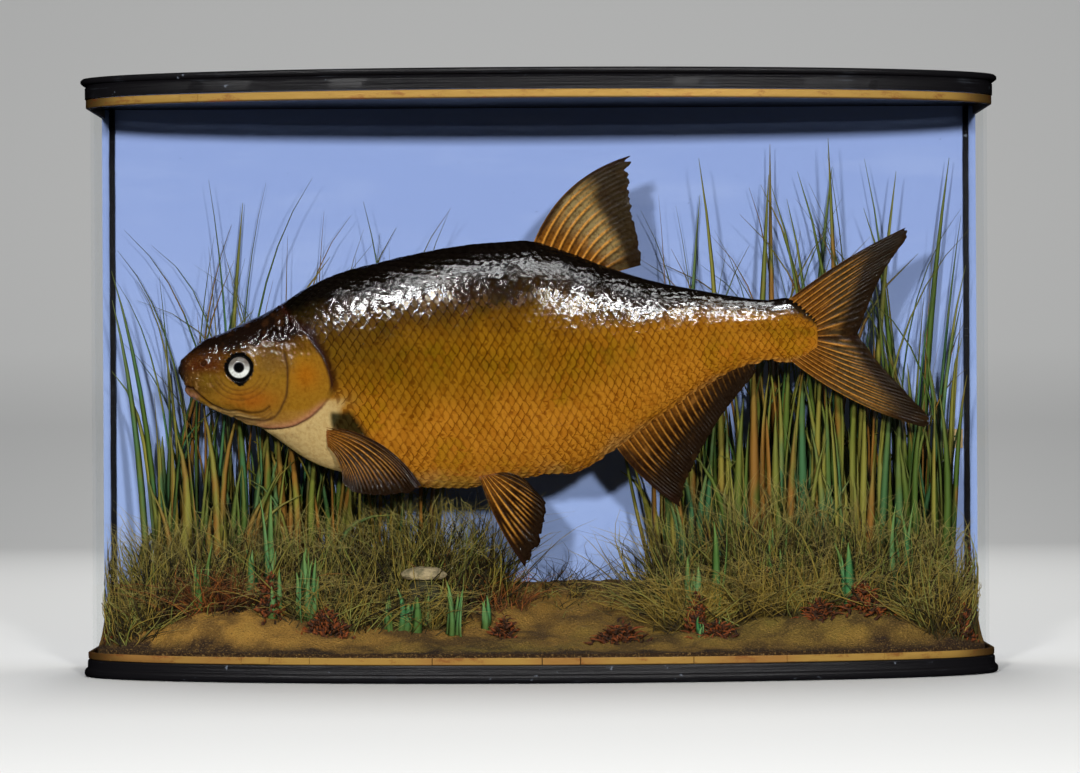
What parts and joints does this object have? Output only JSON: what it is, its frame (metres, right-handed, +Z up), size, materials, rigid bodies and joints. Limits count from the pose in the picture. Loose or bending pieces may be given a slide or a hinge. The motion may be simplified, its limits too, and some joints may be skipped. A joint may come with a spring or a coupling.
{
  "type": "taxidermy bream in a bow-fronted glass case",
  "caption": "Taxidermied bream shown from its left side among reeds and grass, in a bow-fronted glass case with an ebonised base and top, gilt slips and a painted back board",
  "frame": {"origin": "under the middle of the case's footprint, on the surface that it stands on", "axes": "+X along the case, from the fish's snout to its tail; +Y from the bowed glass to the back board; +Z up"},
  "size_m": [0.6172, 0.1806, 0.4014],
  "materials": {
    "ebonised_wood": "black polished wood, worn at the edges",
    "gilt": "cracked gilding, darker towards the ends",
    "case_glass": "thin clear bent glass",
    "painted_board": "matt blue paint, brushed",
    "label_paper": "aged paper, bare",
    "groundwork": "painted and sanded groundwork",
    "rock": "rough, mossy",
    "pebble": "pale and smooth",
    "grass": "dried grass and moss",
    "reed": "dried and painted blades",
    "post": "plain dowel",
    "skin": "painted and varnished fish skin",
    "gill_skin": "painted and varnished fish skin",
    "fin": "painted and varnished dried fin",
    "eye_glass": "clear glass over a silver iris"
  },
  "bodies": {
    "root": {"base_board": "ebonised_wood", "top_board": "ebonised_wood", "corner_bead_left": "ebonised_wood", "corner_bead_right": "ebonised_wood", "gilt_slip_base": "gilt", "gilt_slip_top": "gilt", "glass_front": "case_glass", "back_board": "painted_board", "paper_label": "label_paper", "groundwork": "groundwork", "rock": "rock", "pebble": "pebble", "tussock_1": "grass", "tussock_2": "grass", "tussock_3": "grass", "tussock_4": "grass", "tussock_5": "grass", "tussock_6": "grass", "reed_01": "reed", "reed_02": "reed", "reed_03": "reed", "reed_04": "reed", "reed_05": "reed", "reed_06": "reed", "reed_07": "reed", "reed_08": "reed", "reed_09": "reed", "reed_10": "reed", "reed_11": "reed", "reed_12": "reed", "reed_13": "reed", "reed_14": "reed", "reed_15": "reed", "reed_16": "reed", "reed_17": "reed", "reed_18": "reed", "reed_19": "reed", "reed_20": "reed", "reed_21": "reed", "post_1": "post", "post_2": "post", "head": "skin", "trunk": "skin", "tail_stalk": "skin", "lower_jaw": "gill_skin", "gill_cover_left": "gill_skin", "gill_cover_right": "gill_skin", "dorsal_fin": "fin", "anal_fin": "fin", "tail_fin_upper": "fin", "tail_fin_lower": "fin", "pectoral_fin_left": "fin", "pectoral_fin_right": "fin", "pelvic_fin_left": "fin", "pelvic_fin_right": "fin", "eye_left": "eye_glass", "eye_right": "eye_glass"}
  },
  "joints": []
}
